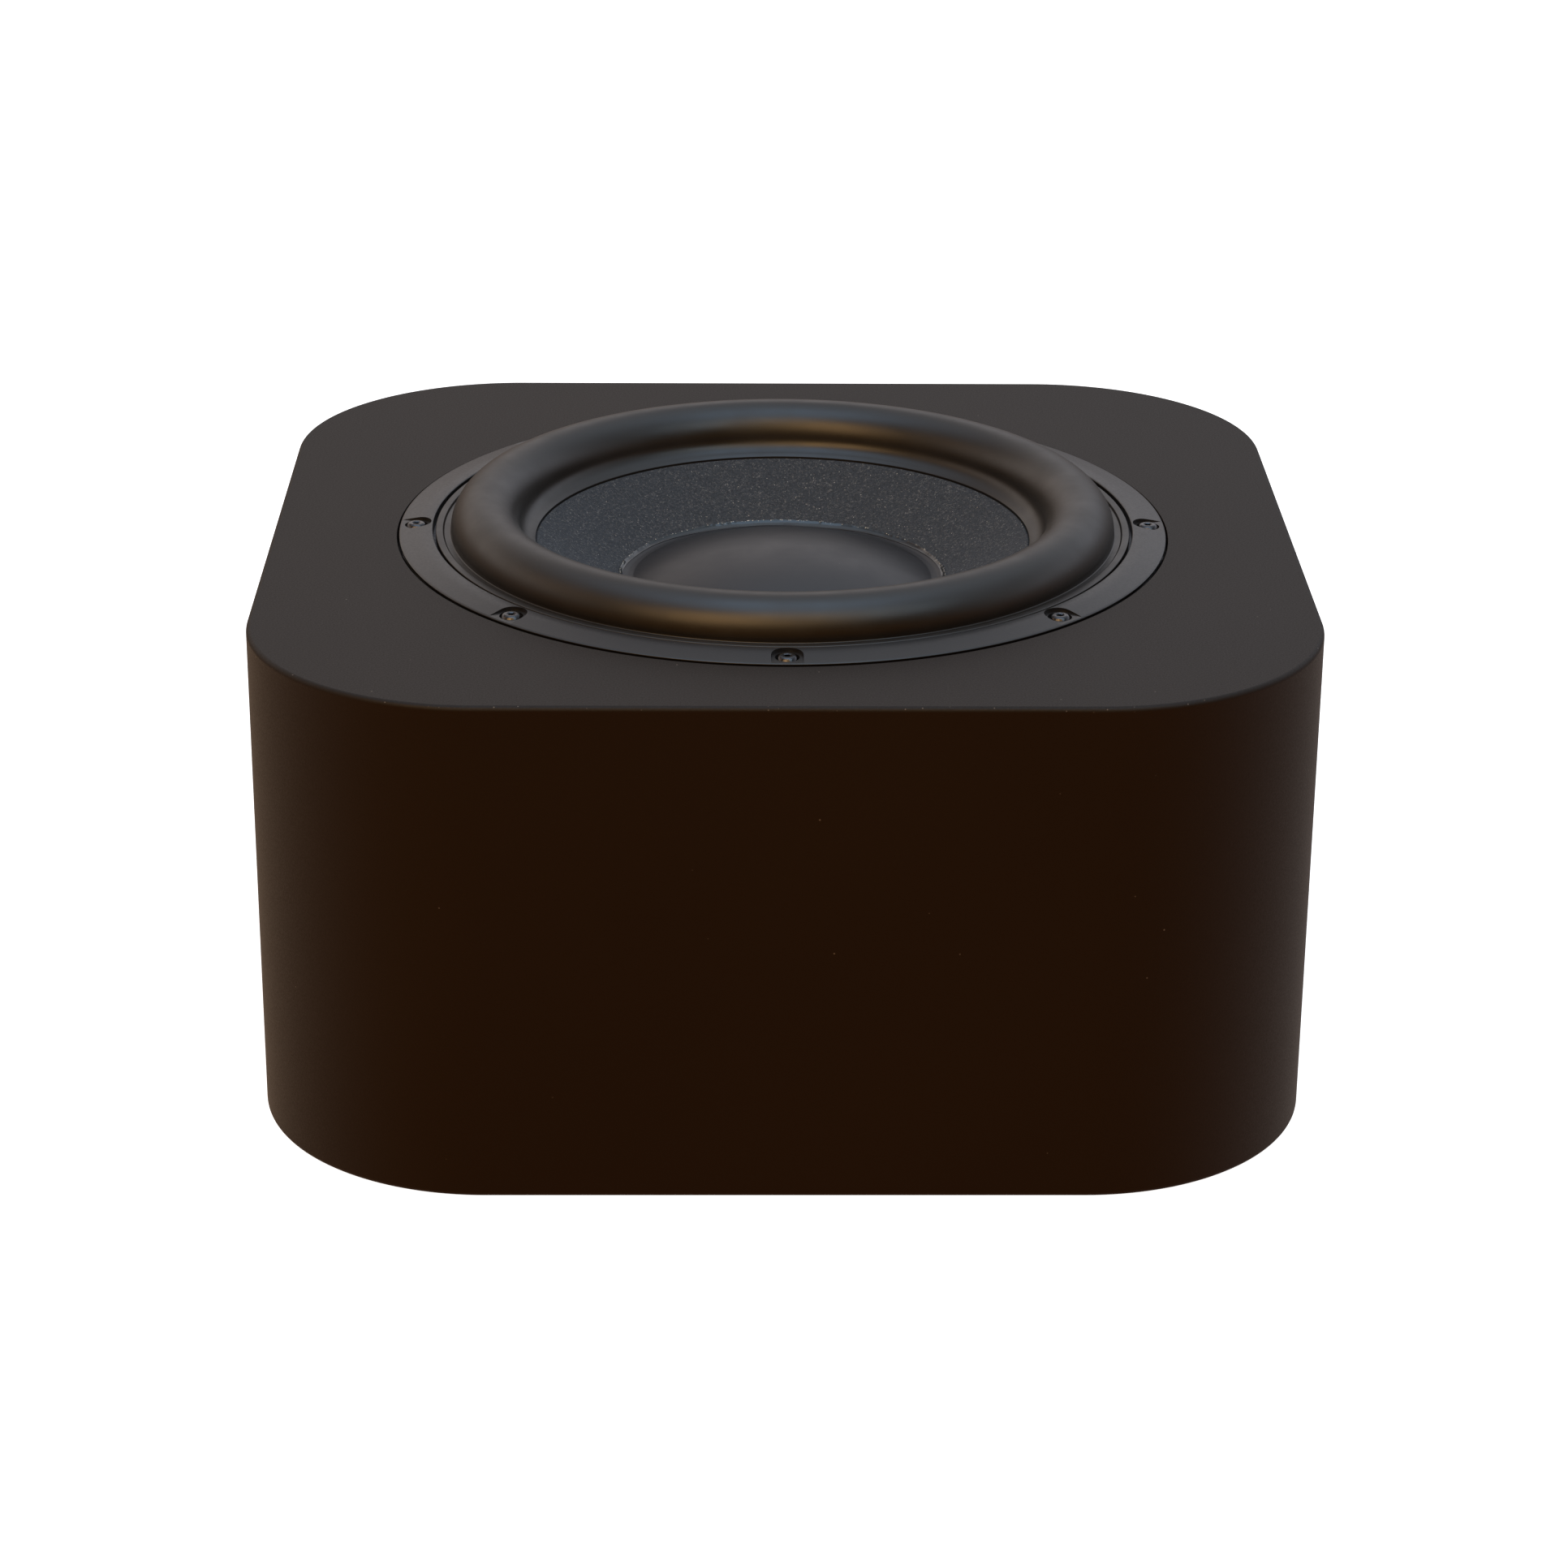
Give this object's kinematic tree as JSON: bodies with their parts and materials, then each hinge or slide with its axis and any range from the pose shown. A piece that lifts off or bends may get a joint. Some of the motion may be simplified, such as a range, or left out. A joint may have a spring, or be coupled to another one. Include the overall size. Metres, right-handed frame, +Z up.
{
  "type": "subwoofer",
  "caption": "Active subwoofer with a rounded closed cabinet, an upward-firing cone driver and an amplifier recessed into the back.",
  "frame": {"origin": "on the floor plane under the centre of the cabinet", "axes": "+Z up, +X to the right seen from the front, front at -Y and amplifier panel at +Y"},
  "size_m": [0.414, 0.396, 0.2258],
  "materials": {
    "cabinet_black": "fine textured matte black lacquer on fibreboard",
    "plain_board": "bare fibreboard",
    "ring_black": "satin black",
    "screw_black": "black oxide",
    "surround_rubber": "smooth satin",
    "cap_rubber": "satin",
    "cone_paper": "dark fibre with light specks",
    "basket_metal": "die-cast",
    "former_metal": "foil",
    "motor_steel": "zinc plated",
    "ferrite_grey": "ground ferrite",
    "winding_copper": "enamelled copper wire",
    "spider_cloth": "resin-stiffened weave",
    "wadding_white": "polyester wadding",
    "gasket_foam": "foam",
    "foot_rubber": "matte",
    "plate_black": "black anodised",
    "plastic_black": "moulded",
    "board_green": "circuit board",
    "jack_metal": "plated",
    "lamp_blue": "clear",
    "cable_black": "matte"
  },
  "bodies": {
    "cabinet": {"cabinet_shell": "cabinet_black", "bottom_panel": "plain_board", "brace_left": "plain_board", "brace_right": "plain_board", "wadding": "wadding_white", "foot_front_left": "foot_rubber", "foot_front_right": "foot_rubber", "foot_back_right": "foot_rubber", "foot_back_left": "foot_rubber", "foot_screw_front_left": "screw_black", "foot_screw_front_right": "screw_black", "foot_screw_back_right": "screw_black", "foot_screw_back_left": "screw_black", "driver_gasket": "gasket_foam", "trim_ring": "ring_black", "basket": "basket_metal", "ring_screw_1": "screw_black", "ring_screw_2": "screw_black", "ring_screw_3": "screw_black", "ring_screw_4": "screw_black", "ring_screw_5": "screw_black", "ring_screw_6": "screw_black", "ring_screw_7": "screw_black", "ring_screw_8": "screw_black", "surround": "surround_rubber", "spider": "spider_cloth", "top_plate": "motor_steel", "magnet": "ferrite_grey", "back_plate": "motor_steel", "terminal_strip": "plastic_black", "tinsel_lead_1": "winding_copper", "tinsel_lead_2": "winding_copper", "speaker_cable": "cable_black", "amp_plate": "plate_black", "heat_sink": "plate_black", "mains_inlet": "plastic_black", "rocker_bezel": "plastic_black", "volume_pot": "motor_steel", "crossover_pot": "motor_steel", "phase_switch_body": "motor_steel", "line_jack_left": "jack_metal", "line_jack_right": "jack_metal", "power_light": "lamp_blue", "plate_screw_1": "screw_black", "plate_screw_2": "screw_black", "plate_screw_3": "screw_black", "plate_screw_4": "screw_black", "circuit_board": "board_green", "capacitor_1": "plastic_black", "capacitor_2": "plastic_black", "transformer": "winding_copper", "transformer_bolt": "motor_steel"},
    "cone": {"cone": "cone_paper", "dust_cap": "cap_rubber", "voice_coil_former": "former_metal", "voice_coil": "winding_copper"},
    "volume_knob": {"volume_knob": "plastic_black"},
    "crossover_knob": {"crossover_knob": "plastic_black"},
    "phase_slider": {"phase_slider": "plastic_black"},
    "power_rocker": {"power_rocker": "plastic_black"}
  },
  "joints": [
    {"name": "cone_travel", "type": "slide", "parent": "cabinet", "child": "cone", "axis": [0, 0, 1], "range_m": [-0.012, 0.012], "stiffness_N_per_m": 2500, "springref_m": 0.0006, "deforming": ["surround", "spider", "tinsel_lead_1", "tinsel_lead_2"]},
    {"name": "volume_turn", "type": "hinge", "parent": "cabinet", "child": "volume_knob", "pos_m": [-0.002, 0.1843, 0.145], "axis": [0, -1, 0], "range_deg": [-150, 150]},
    {"name": "crossover_turn", "type": "hinge", "parent": "cabinet", "child": "crossover_knob", "pos_m": [-0.038, 0.1843, 0.145], "axis": [0, -1, 0], "range_deg": [-150, 150]},
    {"name": "phase_slide", "type": "slide", "parent": "cabinet", "child": "phase_slider", "axis": [-1, 0, 0], "range_m": [0, 0.0044]},
    {"name": "rocker_tilt", "type": "hinge", "parent": "cabinet", "child": "power_rocker", "pos_m": [-0.008, 0.1843, 0.071], "axis": [1, 0, 0], "range_deg": [0, 16]}
  ]
}
